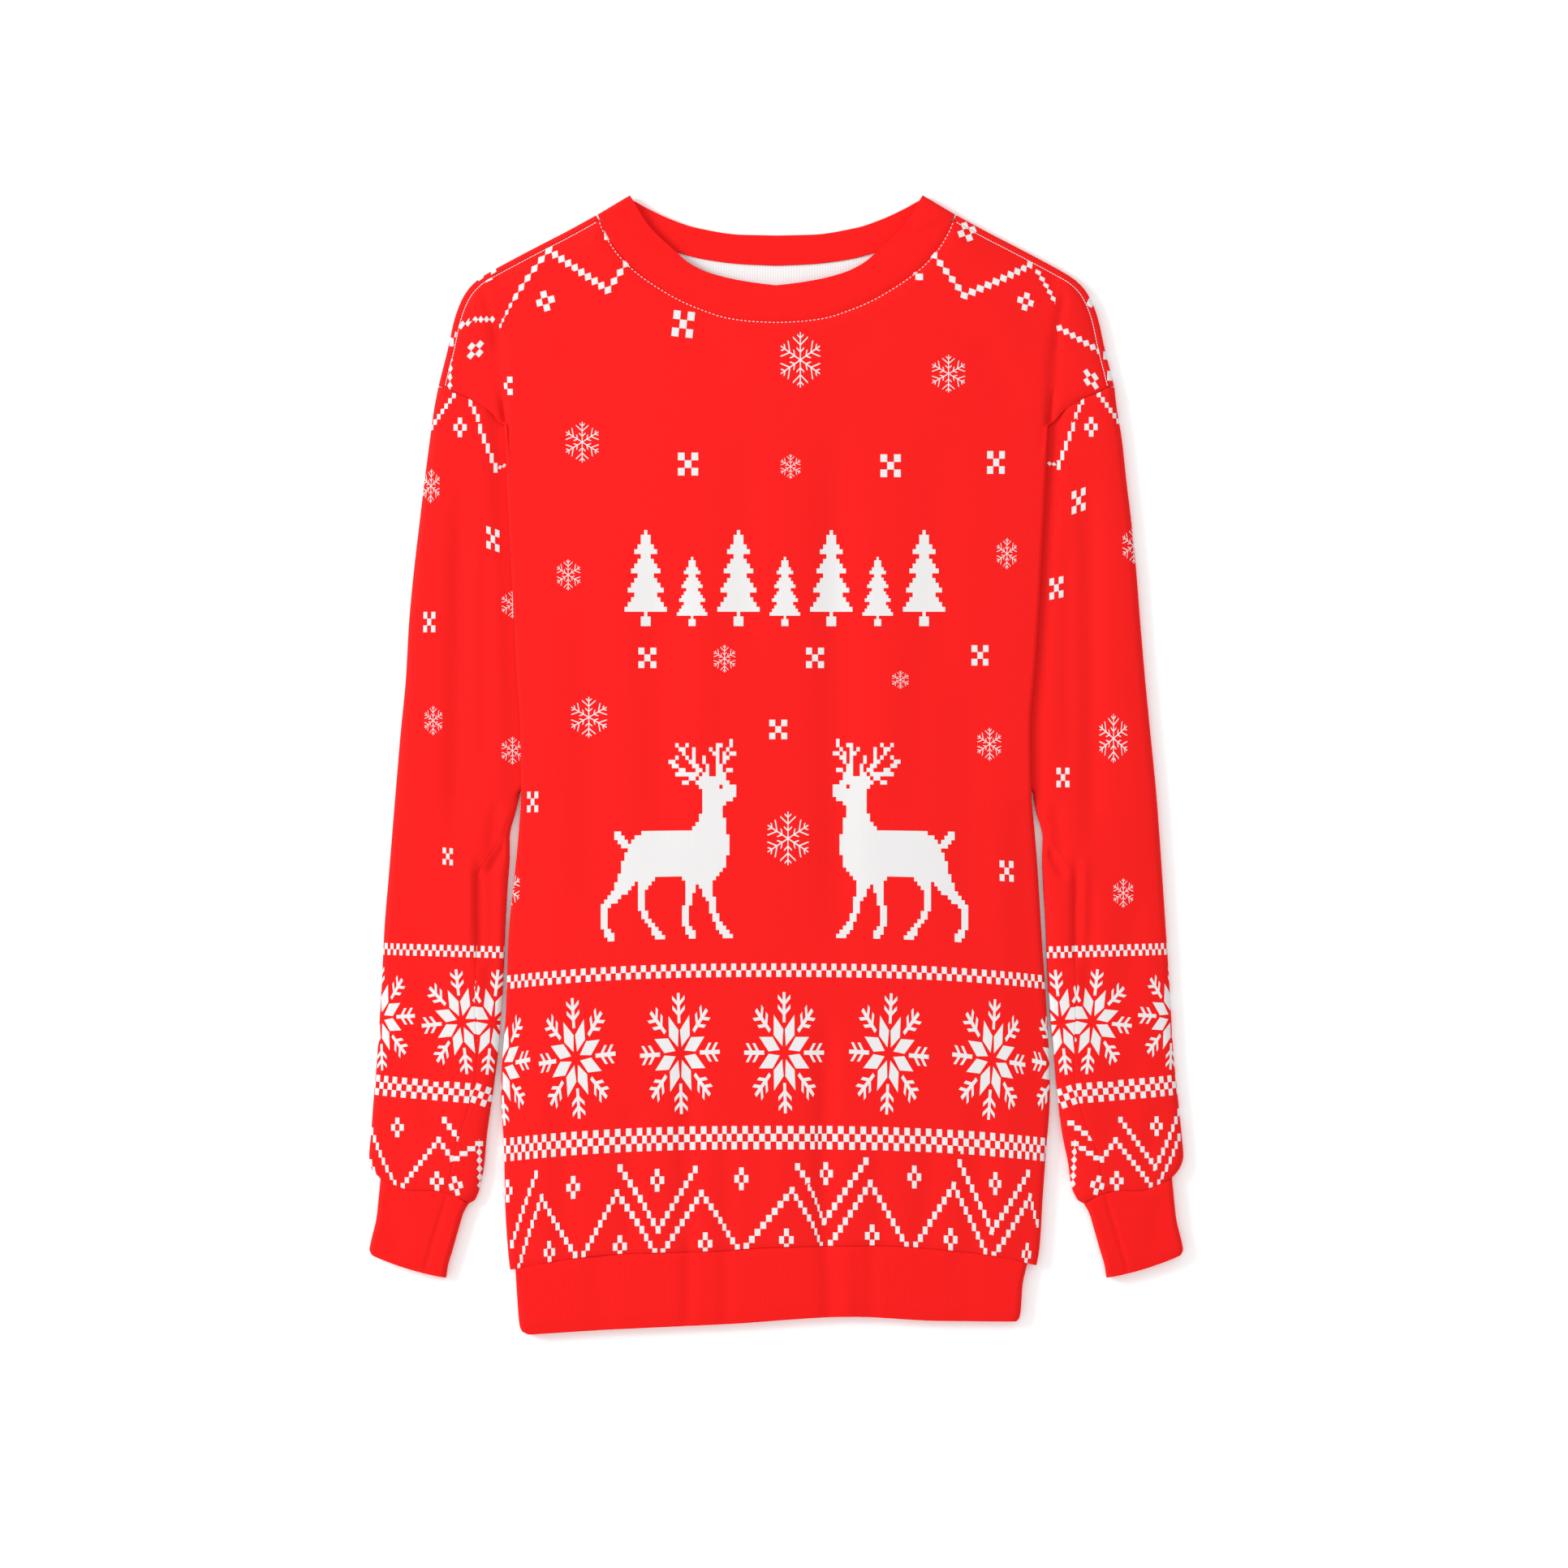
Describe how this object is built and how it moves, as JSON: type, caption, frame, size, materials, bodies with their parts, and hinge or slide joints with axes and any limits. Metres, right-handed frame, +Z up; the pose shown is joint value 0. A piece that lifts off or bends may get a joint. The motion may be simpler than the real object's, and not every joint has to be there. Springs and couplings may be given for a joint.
{
  "type": "sweatshirt",
  "caption": "Crew-neck pullover sweatshirt laid flat, front up, with ribbed neckband, cuffs and waistband, and a white knit-style winter print on red.",
  "frame": {"origin": "on the surface, under the middle of the garment's outline", "axes": "+Y from the waistband towards the neck, +X to the right as seen from above with the neck away from the viewer, +Z up out of the front"},
  "size_m": [0.5006, 0.7007, 0.0078],
  "materials": {
    "front_panel": "printed fleece-backed jersey, white inside",
    "back_panel": "printed fleece-backed jersey, white inside",
    "left_sleeve": "printed fleece-backed jersey, white inside",
    "right_sleeve": "printed fleece-backed jersey, white inside",
    "neckband": "plain fine rib",
    "waistband": "plain fine rib",
    "left_cuff": "plain fine rib",
    "right_cuff": "plain fine rib"
  },
  "bodies": {
    "root": {"front_panel": "front_panel", "back_panel": "back_panel", "left_sleeve": "left_sleeve", "right_sleeve": "right_sleeve", "neckband": "neckband", "waistband": "waistband", "left_cuff": "left_cuff", "right_cuff": "right_cuff"}
  },
  "joints": []
}
